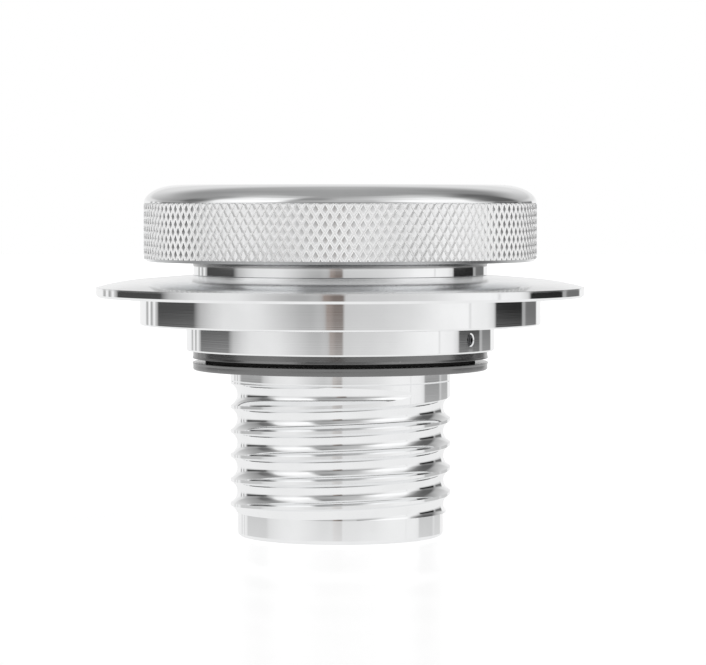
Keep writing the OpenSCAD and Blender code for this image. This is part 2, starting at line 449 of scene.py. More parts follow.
@dataclass(frozen=True)
class HelixCut:
    """A right-hand helical groove round a cylinder, or inside a bore.

    Azimuths are in degrees from the front (-Y) to the right (+X). The groove starts at its upper
    end and runs down clockwise, as seen from above.
    """

    tool: CuttingTool
    radius: float
    top: float
    bottom: float
    pitch: float
    start_azimuth: float
    start_height: float
    turns: float
    lead_in: float
    lead_out: float = 0.0
    lag: float = 0.0
    in_bore: bool = False
    foot: float | None = None

    def _depth(self, turned: float) -> float:
        """Works out the groove's depth, which fades in and out.

        Args:
            turned: How far round the groove, in degrees.

        Returns:
            The depth in mm.
        """
        last = 360 * self.turns
        if turned > last:
            return 0.0
        depth = self.tool.depth * math.sin(math.radians(90 * min(1.0, turned / self.lead_in)))
        if self.lead_out:
            depth *= math.sin(math.radians(90 * min(1.0, (last - turned) / self.lead_out)))
        return depth

    def _crossing(self, turned: float) -> list[Point]:
        """Works out one crossing of the groove.

        Args:
            turned: How far round the groove it lies, in degrees.

        Returns:
            Points as (depth, height).
        """
        lag = self.lag * (1 - min(1.0, turned / self.lead_in)) ** 2
        height = self.start_height - self.pitch * turned / 360 - lag
        return [(d, height + z) for d, z in self.tool.section(self._depth(turned))]

    def _column(self, turned: float, blocks: int) -> list[list[Point]]:
        """Works out one column of the sleeve, clipped at its lower end.

        Args:
            turned: How far round the first turn the column lies, in degrees.
            blocks: How many crossings it has.

        Returns:
            Its top, its crossings, its bottom and its foot, as rows of (radius, height).
        """
        cuts = [self._crossing(turned + 360 * k) for k in range(blocks)]
        floor = 0.0
        for cut in cuts:
            for (d0, z0), (d1, z1) in zip(cut, cut[1:]):
                if z0 > self.bottom >= z1:
                    floor = d0 + (d1 - d0) * (z0 - self.bottom) / (z0 - z1)
        side = 1 if self.in_bore else -1
        end = (floor, self.bottom)
        clipped = [[(d, z) if z > self.bottom else end for d, z in cut] for cut in cuts]
        rows = [[(0.0, self.top)], *clipped, [end]]
        places = [[(self.radius + side * d, z) for d, z in row] for row in rows]
        return places + ([[(self.foot, self.bottom)]] if self.foot is not None else [])

    def build(self, name: str) -> Piece:
        """Builds the grooved surface, whose rows follow the helix so that its edges stay crisp.

        Args:
            name: Name of the new object.

        Returns:
            The open sleeve, from its top ring to its bottom ring or foot.
        """
        mesh = bmesh.new()
        blocks = math.ceil(self.turns) + 1
        columns = []
        for i in range(ROUND):
            angle = FULL_TURN * i / ROUND
            across, along = math.cos(angle), math.sin(angle)
            turned = (self.start_azimuth - 90 - math.degrees(angle)) % 360
            made = [
                [mesh.verts.new(Vector((r * across, r * along, z)) * MM) for r, z in row]
                for row in self._column(turned, blocks)
            ]
            columns.append((turned, made))
        # Where the groove starts, each turn's rows meet those of the turn above.
        for i, (turned, here) in enumerate(columns):
            later, there = columns[(i + 1) % ROUND]
            if later < turned:
                one, two = sum(here, []), sum(there, [])
                start = 0
            else:
                tail = here[blocks + 1:]
                one = here[0] + sum(here[2:blocks + 1], []) + tail[0] * len(here[1]) + sum(tail, [])
                two = sum(there, [])
                mesh.faces.new((here[0][0], *here[1], here[2][0], there[1][0], there[0][0]))
                start = 1
            for k in range(start, len(one) - 1):
                corners = []
                for vertex in (one[k], one[k + 1], two[k + 1], two[k]):
                    if vertex not in corners:
                        corners.append(vertex)
                if len(corners) > 2:
                    mesh.faces.new(corners)
        data = bpy.data.meshes.new(name)
        mesh.to_mesh(data)
        mesh.free()
        piece = bpy.data.objects.new(name, data)
        bpy.context.scene.collection.objects.link(piece)
        return piece


@dataclass(frozen=True)
class FineThread:
    """A fine thread, which fades in and out and leaves a plain margin at each end."""

    depth: float
    azimuth: float
    margin: float
    lead: float
    pitch: float = 2.0

    def on(self, radius: float, top: float, bottom: float, in_bore: bool = False) -> HelixCut:
        """Sets the thread out.

        Args:
            radius: Radius of the plug or the bore.
            top: Height of the threaded length's upper end.
            bottom: Height of its lower end.
            in_bore: True for a thread inside a bore.

        Returns:
            The cut.
        """
        turns = (top - bottom - 2 * self.margin) / self.pitch
        return HelixCut(
            ThreadTool(self.depth), radius, top, bottom, self.pitch, self.azimuth, top - self.margin,
            turns, lead_in=self.lead, lead_out=self.lead, in_bore=in_bore,
        )


def coat(piece: Piece, material: Material) -> None:
    """Gives a piece one material.

    Args:
        piece: The piece.
        material: Its material.
    """
    piece.data.materials.clear()
    piece.data.materials.append(material)
    LOG.info("%s: %d faces in %s", piece.name, len(piece.data.polygons), material.name)


def dress(piece: Piece, material: Material, body: Body, slot: Slot, *nodes: str) -> None:
    """Gives a piece its finish and body, and hides the nodes that it stands for.

    Args:
        piece: The piece.
        material: Its material.
        body: The body that it rides on.
        slot: The record's slot that it takes its finish from; not used.
        nodes: The nodes that it replaces.
    """
    coat(piece, material)
    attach(piece, body.value)
    if nodes:
        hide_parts(*nodes)


@dataclass
class FuelCap:
    """The cap: polished crown, knurled rim, shoulder and hollow threaded plug."""

    levels: Levels
    crown_height: float = 3.5
    crown_reach: float = 6.6
    crown_step: float = 0.05
    crown_break: float = 0.16
    knurl_height: float = 10.0
    knurl_pitch: float = 1.66
    knurl_rows: float = 7.4
    knurl_depth: float = 0.2
    knurl_land: float = 0.6
    knurl_root: float = 1.5
    knurl_break: float = 0.04
    knurl_merge: float = 0.004
    knurl_crease: float = 24.0
    rim_bevel: float = 0.55
    rim_break: float = 0.12
    shoulder_radius: float = 27.1
    shoulder_fillet: float = 0.8
    shoulder_break: float = 0.08
    seat_gap: float = 0.04
    plug_radius: float = 23.92
    plug_bevel: float = 0.5
    cavity_radius: float = 20.72
    cavity_fillet: float = 1.0
    top_thickness: float = 5.0
    ring_room: float = 0.05
    ring_land: float = 0.9
    thread: FineThread = FineThread(depth=0.8, azimuth=20.0, margin=0.7, lead=90.0)
    # Heights of the band of painted shade on the shoulder, in mm below the rim's underside.
    painted_shade_from: float = 0.03
    painted_shade_to: float = 0.88
    knurl_seat: Point = field(init=False)
    under: float = field(init=False)

    def __post_init__(self) -> None:
        """Works out the heights of the knurled band and of the rim's underside."""
        crown = self.levels.cap_top - self.crown_height
        self.knurl_seat = (crown - self.knurl_height, crown)
        self.under = self.knurl_seat[0] - self.rim_bevel

    def painted_shade_band(self) -> Point:
        """Returns the heights of the band of painted shade on the shoulder, below the rim's
        underside.
        """
        return self.under - self.painted_shade_to, self.under - self.painted_shade_from

    def _crown(self, steps: int = 24) -> list[Point]:
        """Works out the crown's quarter ellipse and the break below it.

        Args:
            steps: Steps in the curve.

        Returns:
            Points from the flat top to the side.
        """
        edge = self.levels.cap_radius - self.crown_step
        base = self.knurl_seat[1] + self.crown_break
        rise = self.crown_height - self.crown_break
        reach = self.crown_reach
        angles = (math.radians(90 * (1 - i / steps)) for i in range(steps + 1))
        arc = [(edge - reach * (1 - math.cos(a)), base + rise * math.sin(a)) for a in angles]
        return [*arc, (edge - self.crown_break, base - self.crown_break)]

    def turned(self) -> Piece:
        """Turns the cap's body and cuts the thread of its plug.

        Returns:
            The cap without its knurl.
        """
        at = self.levels
        low, high = self.knurl_seat
        tip = at.cap_radius
        core = tip - self.knurl_depth - self.knurl_root / 2
        shoulder = at.seat + self.seat_gap
        relief = at.ring_high + self.ring_room
        groove = at.ring_radius + self.ring_room
        thread_top = at.ring_low - self.ring_land
        thread_end = at.plug_end + self.plug_bevel
        cavity = at.cap_top - self.top_thickness
        outside = (
            HalfSection()
            .to(0, at.cap_top)
            .through(self._crown())
            .to(core, high)
            .to(core, low)
            .to(tip - self.crown_step, low)
            .to(tip - self.crown_step - self.rim_bevel, self.under, self.rim_break)
            .to(self.shoulder_radius, self.under, self.shoulder_fillet)
            .to(self.shoulder_radius, shoulder, self.shoulder_break)
            .to(groove, shoulder, BREAK)
            .to(groove, relief, 1.5 * BREAK)
            .to(self.plug_radius, relief)
            .to(self.plug_radius, thread_top)
        )
        inside = (
            HalfSection()
            .to(self.plug_radius, thread_end)
            .to(self.plug_radius - self.plug_bevel, at.plug_end)
            .to(self.cavity_radius, at.plug_end, 2 * BREAK)
            .to(self.cavity_radius, cavity, self.cavity_fillet)
            .to(0, cavity)
        )
        return Bench.smooth(Bench.join("cap_body", [
            Bench.turn("cap_outside", outside),
            Bench.turn("cap_inside", inside),
            self.thread.on(self.plug_radius, thread_top, thread_end).build("cap_thread"),
        ]))

    def knurl(self) -> Piece:
        """Models one flat-topped diamond, copies it over the rim and trims the band.

        Returns:
            The knurled band, closed on its inside.
        """
        low, high = self.knurl_seat
        teeth = round(FULL_TURN * self.levels.cap_radius / self.knurl_pitch)
        step = FULL_TURN / teeth
        rise = self.knurl_height / self.knurl_rows
        valley = self.levels.cap_radius - self.knurl_depth
        middle = (low + high) / 2
        half_width = valley * math.sin(step / 2)
        sag = valley * (1 - math.cos(step / 2))

        Bench.clear()
        bpy.ops.mesh.primitive_circle_add(
            vertices=4, radius=rise * MM, fill_type="NGON", rotation=(math.pi / 2, 0, 0),
            location=(0, -valley * MM, middle * MM),
        )
        diamond = bpy.context.object
        diamond.name = "cap_knurl"
        bpy.ops.object.transform_apply(location=True, rotation=True, scale=True)
        Bench.edit(diamond)
        centre = (0, 0, middle * MM)
        bpy.ops.transform.resize(value=(half_width / rise, 1, 1), center_override=centre)
        Bench.select(diamond, lambda p: abs(p.x) > half_width / 2)
        bpy.ops.transform.translate(value=(0, sag * MM, 0))
        bpy.ops.mesh.select_mode(type="FACE")
        bpy.ops.mesh.select_all(action="SELECT")
        flank = half_width * math.cos(math.atan2(half_width, rise)) * (1 - self.knurl_land)
        bpy.ops.mesh.inset(thickness=flank * MM, depth=0)
        bpy.ops.transform.translate(value=(0, -self.knurl_depth * MM, 0))
        bpy.ops.mesh.bevel(offset=self.knurl_break * MM, segments=2, affect="EDGES")
        Bench.clear()

        # Two staggered columns make one tooth of the ring, taller than the band.
        column = []
        for shift, row in [(0, k) for k in range(-4, 5, 2)] + [(1, k) for k in range(-3, 4, 2)]:
            copy = diamond.copy()
            copy.data = diamond.data.copy()
            bpy.context.scene.collection.objects.link(copy)
            lift = Matrix.Translation((0, 0, row * rise * MM))
            copy.data.transform(Matrix.Rotation(shift * step / 2, 4, "Z") @ lift)
            column.append(copy)
        bpy.data.objects.remove(diamond)
        wedge = Bench.join("cap_knurl", column)
        bpy.ops.object.empty_add(location=(0, 0, 0), rotation=(0, 0, step))
        next_tooth = bpy.context.object
        Bench.apply(
            wedge, "ARRAY", count=teeth, use_relative_offset=False,
            use_object_offset=True, offset_object=next_tooth,
        )
        bpy.data.objects.remove(next_tooth)
        Bench.close_seams(wedge, self.knurl_merge)
        self._trim(wedge)
        return Bench.smooth(wedge, self.knurl_crease)

    def build(self, polished: Material, knurled: Material) -> None:
        """Builds the cap's body and its knurled band, and dresses them."""
        dress(self.turned(), polished, Body.CAP, Slot.CAP, "cap")
        dress(self.knurl(), knurled, Body.CAP, Slot.CAP, "cap")

    def _trim(self, band: Piece) -> None:
        """Cuts the open sleeve of diamonds off at its edges and closes it towards the axis.

        Args:
            band: The sleeve.
        """
        low, high = self.knurl_seat
        for height, upper in ((high, True), (low, False)):
            Bench.edit(band)
            bpy.ops.mesh.bisect(
                plane_co=(0, 0, height * MM), plane_no=(0, 0, 1), threshold=1e-8,
                clear_outer=upper, clear_inner=not upper,
            )
        inner = self.levels.cap_radius - self.knurl_depth - self.knurl_root
        shrink = inner / (inner + self.knurl_root)
        for height in (high, low):
            Bench.select(band, lambda p, h=height: abs(p.z - h) < NEAR)
            bpy.ops.mesh.extrude_region_move(TRANSFORM_OT_translate={"value": (0, 0, 0)})
            bpy.ops.transform.resize(value=(shrink, shrink, 1), center_override=(0, 0, height * MM))
        Bench.select(band, lambda p: p.xy.length < inner + self.knurl_root / 3)
        bpy.ops.mesh.bridge_edge_loops()
        Bench.close_seams(band)


@dataclass
class FillerFlange:
    """The domed flange with its two tiers, its bores and the hole for the set screw."""

    levels: Levels
    rim: float = 1.8
    rim_break: float = 0.45
    rim_edge: float = 0.06
    dome_slope: float = 4.6
    dome_radius: float = 49.5
    dome_edge: float = 8.7
    tier1_radius: float = 36.95
    tier1_height: float = 5.1
    tier2_radius: float = 28.4
    tier2_height: float = 4.75
    tier_break: float = 0.35
    seat_radius: float = 27.6
    seat_round: float = 0.3
    mouth_radius: float = 24.0
    mouth_bevel: float = 1.4
    socket_radius: float = 23.0
    socket_bevel: float = 0.5
    ledge_radius: float = 19.0
    ledge_top: float = 41.49
    ledge_under: float = 40.29
    hole_azimuth: float = -34.1
    hole_rise: float = 2.5
    hole_radius: float = 1.02
    sink_radius: float = 1.24
    sink_overlap: float = 0.02
    drill_past: float = 1.0
    thread: FineThread = FineThread(depth=0.7, azimuth=120.0, margin=0.6, lead=60.0)
    satin_above: float = 45.6

    def _dome(self, rim: float, steps: int = 12) -> list[Point]:
        """Works out the dome's curve.

        Args:
            rim: Height of the rim's upper edge.
            steps: Steps in the curve.

        Returns:
            Points from just inside the rim to the seat.
        """
        start = self.levels.flange_radius - self.dome_edge
        slope = math.radians(self.dome_slope)
        edge = math.asin(math.sin(slope) + self.dome_edge / self.dome_radius)
        start_z = rim + self.dome_radius * (math.cos(slope) - math.cos(edge))
        angles = (edge + (slope - edge) * i / steps for i in range(1, steps + 1))
        return [
            (start + self.dome_radius * (math.sin(a) - math.sin(slope)),
             start_z - self.dome_radius * (math.cos(slope) - math.cos(a)))
            for a in angles
        ]

    def turned(self) -> Piece:
        """Turns the flange, cuts the thread in its mouth and drills the hole for the set screw.

        Returns:
            The finished flange.
        """
        at = self.levels
        tier1 = at.tier2_face + self.tier2_height
        under = tier1 + self.tier1_height
        rim = under + self.rim
        thread_top = at.seat - self.mouth_bevel
        thread_end = self.ledge_top + self.thread.margin
        section = (
            HalfSection()
            .to(self.mouth_radius, thread_end)
            .to(self.mouth_radius, self.ledge_top)
            .to(self.ledge_radius, self.ledge_top, 1.5 * BREAK)
            .to(self.ledge_radius, self.ledge_under, 1.5 * BREAK)
            .to(self.socket_radius, self.ledge_under)
            .to(self.socket_radius, at.tier2_face + self.socket_bevel)
            .to(self.socket_radius + self.socket_bevel, at.tier2_face)
            .to(self.tier2_radius, at.tier2_face, self.tier_break)
            .to(self.tier2_radius, tier1, BREAK)
            .to(self.tier1_radius, tier1, self.tier_break)
            .to(self.tier1_radius, under, BREAK)
            .to(at.flange_radius - self.rim_break, under, BREAK)
            .to(at.flange_radius, under + self.rim_break, BREAK)
            .to(at.flange_radius, rim, self.rim_edge)
            .through(self._dome(rim))
            .to(self.seat_radius, at.seat, self.seat_round)
            .to(self.mouth_radius + self.mouth_bevel, at.seat, BREAK)
            .to(self.mouth_radius, thread_top)
        )
        thread = self.thread.on(self.mouth_radius, thread_top, thread_end, in_bore=True)
        flange = Bench.join("flange", [
            Bench.turn("flange_turned", section),
            thread.build("flange_thread"),
        ])
        self._drill(flange)
        return Bench.smooth(flange)

    def build(self, material: Material) -> None:
        """Builds the flange and dresses it."""
        dress(self.turned(), material, Body.FILLER, Slot.FLANGE, "filler_flange")

    def hole(self) -> tuple[Vector, Vector, Triple]:
        """Works out where the radial hole lies.

        Returns:
            The hole's mouth in mm, the way out of it, and the rotation of a rod along it.
        """
        azimuth = math.radians(self.hole_azimuth)
        outwards = Vector((math.cos(azimuth), math.sin(azimuth), 0))
        rise = Vector((0, 0, self.levels.tier2_face + self.hole_rise))
        return outwards * self.tier2_radius + rise, outwards, (0, math.pi / 2, azimuth)

    def _drill(self, flange: Piece) -> None:
        """Drills and countersinks the radial hole.

        Args:
            flange: The turned flange.
        """
        mouth, outwards, turned = self.hole()
        depth = self.tier2_radius - self.socket_radius + 2 * self.drill_past
        middle = mouth - outwards * (depth / 2 - self.drill_past)
        Bench.cut(flange, Bench.rod(self.hole_radius, depth, middle, turned))
        sink = self.sink_radius - self.hole_radius
        Bench.clear()
        bpy.ops.mesh.primitive_cone_add(
            vertices=48, depth=2 * sink * MM, radius1=(self.hole_radius - self.sink_overlap) * MM,
            radius2=(self.sink_radius + sink) * MM, location=mouth * MM, rotation=turned,
        )
        Bench.cut(flange, bpy.context.object)


@dataclass
class SetScrew:
    """The set screw in the flange's radial hole, with a hexagonal socket."""

    flange: FillerFlange
    length: float = 3.0
    sunk: float = 0.9
    clearance: float = 0.03
    edge: float = 0.12
    socket: float = 0.5
    socket_depth: float = 0.9

    def turned(self) -> Piece:
        """Turns the screw and cuts its socket.

        Returns:
            The finished screw.
        """
        mouth, outwards, turned = self.flange.hole()
        face = mouth - outwards * self.sunk
        radius = self.flange.hole_radius - self.clearance
        screw = Bench.rod(radius, self.length, face - outwards * self.length / 2, turned)
        screw.name = "grub_screw"
        bpy.ops.object.transform_apply(location=True, rotation=True, scale=True)
        Bench.select(screw, lambda p: (p - face).dot(outwards) > -NEAR)
        bpy.ops.mesh.bevel(offset=self.edge * MM, segments=2, affect="EDGES")
        Bench.cut(screw, Bench.rod(self.socket, 2 * self.socket_depth, face, turned, sides=6))
        return Bench.smooth(screw)

    def build(self, material: Material) -> None:
        """Builds the screw and dresses it."""
        dress(self.turned(), material, Body.FILLER, Slot.SCREW, "set_screw")


@dataclass
class HoseNeck:
    """The hose neck: barb, turned mark, lip, hub and stepped top."""

    levels: Levels
    crest_radius: float = 20.3
    end_radius: float = 18.95
    end_height: float = 4.4
    end_round: float = 0.75
    bore_radius: float = 16.5
    bore_break: float = 0.3
    mark_height: float = 28.75
    mark_width: float = 0.28
    mark_depth: float = 0.1
    mark_round: float = 0.03
    hub_radius: float = 24.2
    lip_thickness: float = 0.7
    lip_fillet: float = 0.25
    thread_radius: float = 22.92
    rebate_radius: float = 21.22
    rebate_drop: float = 1.55
    groove_radius: float = 2.2
    groove_depth: float = 1.25
    groove_pitch: float = 4.5
    groove_azimuth: float = 41.0
    groove_front: float = 27.19
    groove_lead_in: float = 126.0
    groove_lag: float = 0.87
    crease: float = 16.0

    def turned(self) -> Piece:
        """Turns the neck and cuts its barb.

        Returns:
            The finished neck.
        """
        at = self.levels
        base = at.lower_gasket[0]
        hub_top = at.tier2_face
        rebate = at.neck_top - self.rebate_drop
        mark_low = self.mark_height - self.mark_width / 2
        section = (
            HalfSection()
            .to(self.crest_radius, mark_low)
            .to(self.crest_radius - self.mark_depth, self.mark_height, self.mark_round)
            .to(self.crest_radius, mark_low + self.mark_width)
            .to(self.crest_radius, base, self.lip_fillet)
            .to(at.lip_radius, base, BREAK)
            .to(at.lip_radius, base + self.lip_thickness, BREAK)
            .to(self.hub_radius, base + self.lip_thickness)
            .to(self.hub_radius, hub_top)
            .to(self.thread_radius, hub_top)
            .to(self.thread_radius, rebate)
            .to(self.rebate_radius, rebate)
            .to(self.rebate_radius, at.neck_top, 2 * BREAK)
            .to(self.bore_radius, at.neck_top, 4 * BREAK)
            .to(self.bore_radius, 0, self.bore_break)
            .to(self.end_radius, 0, self.end_round)
            .to(self.end_radius, self.end_height)
        )
        start_height = self.groove_front + self.groove_pitch * self.groove_azimuth / 360
        barb = HelixCut(
            tool=RoundTool(self.groove_depth, self.groove_radius),
            radius=self.crest_radius,
            top=mark_low,
            bottom=self.end_height,
            pitch=self.groove_pitch,
            start_azimuth=self.groove_azimuth,
            start_height=start_height,
            turns=(start_height - self.end_height + self.groove_radius) / self.groove_pitch,
            lead_in=self.groove_lead_in,
            lag=self.groove_lag,
            foot=self.end_radius,
        )
        return Bench.smooth(Bench.join("neck", [
            Bench.turn("neck_turned", section),
            barb.build("neck_barb"),
        ]), self.crease)

    def build(self, material: Material) -> None:
        """Builds the neck and dresses it."""
        dress(self.turned(), material, Body.FILLER, Slot.NECK, "hose_neck")


@dataclass
class Gaskets:
    """The two rubber gaskets, with lips where they face each other, and a matt web in their slot
    that paints its shade.
    """

    levels: Levels
    hub_radius: float = 24.25
    lip_rebate: float = 0.7
    lip_room: float = 0.05
    edge_round: float = 0.08
    foot_round: float = 0.35
    lip: float = 0.14
    lip_height: float = 0.45
    lip_fillet: float = 0.3
    web_radius: float = 24.9
    web_gap: float = 0.02
    slot_open: float = 0.09

    def web(self) -> Piece:
        """Turns the web at the bottom of the slot between the two gaskets: a matt sheet whose colour
        paints the slot's shade.

        Returns:
            The web.
        """
        foot = self.levels.lower_gasket[1] - self.slot_open + self.web_gap
        top = self.levels.upper_gasket[0] + self.slot_open - self.web_gap
        section = (
            HalfSection(3)
            .to(self.hub_radius, top, BREAK / 2)
            .to(self.hub_radius, foot, BREAK / 2)
            .to(self.web_radius, foot, BREAK / 2)
            .to(self.web_radius, top, BREAK / 2)
        )
        return Bench.smooth(Bench.turn("slot_shade_web", section, closed=True))

    def upper(self) -> Piece:
        """Turns the upper gasket.

        Returns:
            The gasket.
        """
        low, high = self.levels.upper_gasket
        low += self.slot_open
        outer = self.levels.gasket_radius
        section = (
            HalfSection(4)
            .to(self.hub_radius, high, BREAK)
            .to(self.hub_radius, low, BREAK)
            .to(outer, low, self.edge_round)
            .to(outer - self.lip, low + self.lip_height, self.lip_fillet)
            .to(outer - self.lip, high, self.edge_round)
        )
        return Bench.smooth(Bench.turn("gasket_upper", section, closed=True))

    def lower(self) -> Piece:
        """Turns the lower gasket, with the rebate for the hub's lip.

        Returns:
            The gasket.
        """
        low, high = self.levels.lower_gasket
        high -= self.slot_open
        outer = self.levels.gasket_radius
        step = self.levels.lip_radius + self.lip_room
        section = (
            HalfSection(4)
            .to(self.hub_radius, high, BREAK)
            .to(self.hub_radius, low + self.lip_rebate)
            .to(step, low + self.lip_rebate)
            .to(step, low, BREAK)
            .to(outer - self.lip, low, self.foot_round)
            .to(outer - self.lip, high - self.lip_height, self.lip_fillet)
            .to(outer, high, self.edge_round)
        )
        return Bench.smooth(Bench.turn("gasket_lower", section, closed=True))

    def build(self, rubber: Material, slot_shade_rubber: Material) -> None:
        """Builds the gaskets and the web, and dresses them; the web's material paints the slot's
        shade.

        Args:
            rubber: Material of the gaskets.
            slot_shade_rubber: Material of the web.
        """
        dress(self.upper(), rubber, Body.FILLER, Slot.GASKET, "upper_gasket")
        dress(self.lower(), rubber, Body.FILLER, Slot.GASKET, "lower_gasket")
        dress(self.web(), slot_shade_rubber, Body.FILLER, Slot.GASKET, "upper_gasket")


class NodeTree:
    """A small hand for wiring shader nodes."""

    def __init__(self, tree: Tree) -> None:
        """Keeps the tree that is wired.

        Args:
            tree: The node tree.
        """
        self.tree = tree

    def wire(self, node: Node, **inputs: object) -> Node:
        """Sets or links inputs of a node.

        Args:
            node: The node.
            inputs: Values or output sockets, named as the inputs with _ for a space, or as i0, i1.

        Returns:
            The node.
        """
        for key, value in inputs.items():
            numbered = key[0] == "i" and key[1:].isdigit()
            socket = node.inputs[int(key[1:])] if numbered else node.inputs[key.replace("_", " ")]
            if isinstance(value, Socket):
                self.tree.links.new(value, socket)
            else:
                socket.default_value = value
        return node

    def add(self, kind: str, settings: dict[str, object] | None = None, **inputs: object) -> Node:
        """Adds a node, sets it and wires its inputs.

        Args:
            kind: The node's type, without its ShaderNode prefix.
            settings: Properties of the node.
            inputs: As for wire.

        Returns:
            The node.
        """
        node = self.tree.nodes.new("ShaderNode" + kind)
        for key, value in (settings or {}).items():
            setattr(node, key, value)
        return self.wire(node, **inputs)

    def math(self, operation: str, *values: object) -> Socket:
        """Adds a math node.

        Args:
            operation: The node's operation.
            values: Its inputs, in order.

        Returns:
            The node's output.
        """
        inputs = {f"i{i}": value for i, value in enumerate(values)}
        return self.add("Math", {"operation": operation}, **inputs).outputs[0]

    def total(self, *values: object) -> Socket:
        """Adds values up, from the first to the last, and returns their sum."""
        return reduce(lambda one, two: self.math("ADD", one, two), values)

    def times(self, one: object, two: object) -> Socket:
        """Multiplies two values, and returns their product."""
        return self.math("MULTIPLY", one, two)

    def steps(self, value: Socket, *range_: object) -> Socket:
        """Maps a value smoothly from one range to another.

        Args:
            value: The value to map.
            range_: From low, from high, to low, to high.

        Returns:
            The mapped value.
        """
        inputs = {f"i{i}": number for i, number in enumerate((value, *range_))}
        return self.add("MapRange", {"interpolation_type": "SMOOTHSTEP"}, **inputs).outputs[0]

    def mix(self, factor: object, one: object, two: object) -> Socket:
        """Mixes two colours.

        Args:
            factor: Share of the second colour.
            one: The first colour.
            two: The second colour.

        Returns:
            The mixed colour.
        """
        one, two = (c if isinstance(c, Socket) else (*c, 1) for c in (one, two))
        return self.add("Mix", {"data_type": "RGBA"}, i0=factor, i6=one, i7=two).outputs[2]

    def ramp(self, share: Socket, stops: Sequence[tuple[float, Colour]]) -> Socket:
        """Adds a colour ramp.

        Args:
            share: The value to look up, from 0 to 1.
            stops: Places and colours, in order.

        Returns:
            The ramp's colour.
        """
        node = self.add("ValToRGB", i0=share)
        elements = node.color_ramp.elements
        for element, (place, colour) in zip(tuple(elements), (stops[0], stops[-1])):
            element.position, element.color = place, (*colour, 1)
        for place, colour in stops[1:-1]:
            elements.new(place).color = (*colour, 1)
        return node.outputs[0]

    def group(self, tree: Tree, **inputs: object) -> Node:
        """Adds a node group, sets its inputs and returns it."""
        return self.add("Group", {"node_tree": tree}, **inputs)

    def bump(self, strength: float, distance: float, height: Socket) -> Socket:
        """Adds a bump.

        Args:
            strength: Its strength, from 0 to 1.
            distance: Its height in mm.
            height: The height map.

        Returns:
            The bumped normal.
        """
        return self.add("Bump", Strength=strength, Distance=distance * MM, Height=height).outputs[0]

    def place(self) -> Socket:
        """Returns the place on the object, in metres."""
        return self.add("TexCoord").outputs["Object"]

    def axial(self) -> tuple[Socket, Socket]:
        """Returns the distance from the axis and the height on the object, in metres."""
        x, y, z = self.add("SeparateXYZ", i0=self.place()).outputs
        return self.math("SQRT", self.total(self.times(x, x), self.times(y, y))), z


class Groups:
    """Node groups that several finishes use, each built once."""

    @staticmethod
    def _new(name: str, inputs: dict[str, float], *outputs: str) -> tuple[NodeTree, Node, Node]:
        """Starts a group.

        Args:
            name: Its name.
            inputs: Its inputs and their defaults.
            outputs: Its outputs.

        Returns:
            The wiring hand, the group's input node and its output node.
        """
        tree = bpy.data.node_groups.new(name, "ShaderNodeTree")
        for key, value in inputs.items():
            socket = tree.interface.new_socket(key, in_out="INPUT", socket_type="NodeSocketFloat")
            socket.default_value = value
        for key in outputs:
            tree.interface.new_socket(key, in_out="OUTPUT", socket_type="NodeSocketFloat")
        return NodeTree(tree), tree.nodes.new("NodeGroupInput"), tree.nodes.new("NodeGroupOutput")

    @staticmethod
    @cache
    def turning_lines() -> Tree:
        """Makes fine lines that a lathe leaves round the axis, on flats, cones and cylinders alike.

        Returns:
            The group, with a height map and broader streaks.
        """
        inputs = {"Lines per mm": 6.0, "Waviness": 0.3}
        hand, given, out = Groups._new("TurningLines", inputs, "Height", "Streak")
        along = hand.times(hand.total(*hand.axial()), 1 / MM)
        fine = hand.times(along, given.outputs["Lines per mm"])
        line = hand.add("TexNoise", {"noise_dimensions": "1D"}, W=fine, Scale=1.0, Detail=2.0)
        broad = hand.add("TexNoise", {"noise_dimensions": "1D"}, W=along, Scale=0.9, Detail=1.0)
        drift = hand.times(broad.outputs[0], given.outputs["Waviness"])
        hand.wire(out, Height=hand.total(line.outputs[0], drift), Streak=broad.outputs[0])
        return hand.tree

    @staticmethod
    @cache
    def specks() -> Tree:
        """Scatters specks.

        Returns:
            The group, with a mask of the specks.
        """
        inputs = {"Per mm": 1.0, "Size": 0.12, "Share": 0.2}
        hand, given, out = Groups._new("Specks", inputs, "Mask")
        scale = hand.times(given.outputs["Per mm"], 1 / MM)
        cells = hand.add("TexVoronoi", {"feature": "F1"}, Vector=hand.place(), Scale=scale)
        chosen = hand.math("LESS_THAN", cells.outputs["Color"], given.outputs["Share"])
        near = hand.math("LESS_THAN", cells.outputs["Distance"], given.outputs["Size"])
        hand.wire(out, Mask=hand.times(chosen, near))
        return hand.tree

    @staticmethod
    @cache
    def grain() -> Tree:
        """Makes the uneven grain of a moulded or etched surface.

        Returns:
            The group, with a height map and a broad cloud.
        """
        inputs = {"Per mm": 4.0, "Detail": 3.0}
        hand, given, out = Groups._new("Grain", inputs, "Height", "Cloud")
        place = hand.place()
        scale = hand.times(given.outputs["Per mm"], 1 / MM)
        fine = hand.add("TexNoise", Vector=place, Scale=scale, Detail=given.outputs["Detail"])
        cloud = hand.add("TexNoise", Vector=place, Scale=hand.times(scale, 0.05), Detail=2.0)
        hand.wire(out, Height=fine.outputs[0], Cloud=cloud.outputs[0])
        return hand.tree


def start_material(name: str) -> tuple[Material, NodeTree, Node]:
    """Starts a material with an empty Principled BSDF.

    Args:
        name: The material's name.

    Returns:
        The material, its wiring hand and its BSDF.
    """
    material = bpy.data.materials.new(name)
    material.use_nodes = True
    material.node_tree.nodes.clear()
    hand = NodeTree(material.node_tree)
    shader = hand.add("BsdfPrincipled")
    hand.add("OutputMaterial", Surface=shader.outputs[0])
    return material, hand, shader


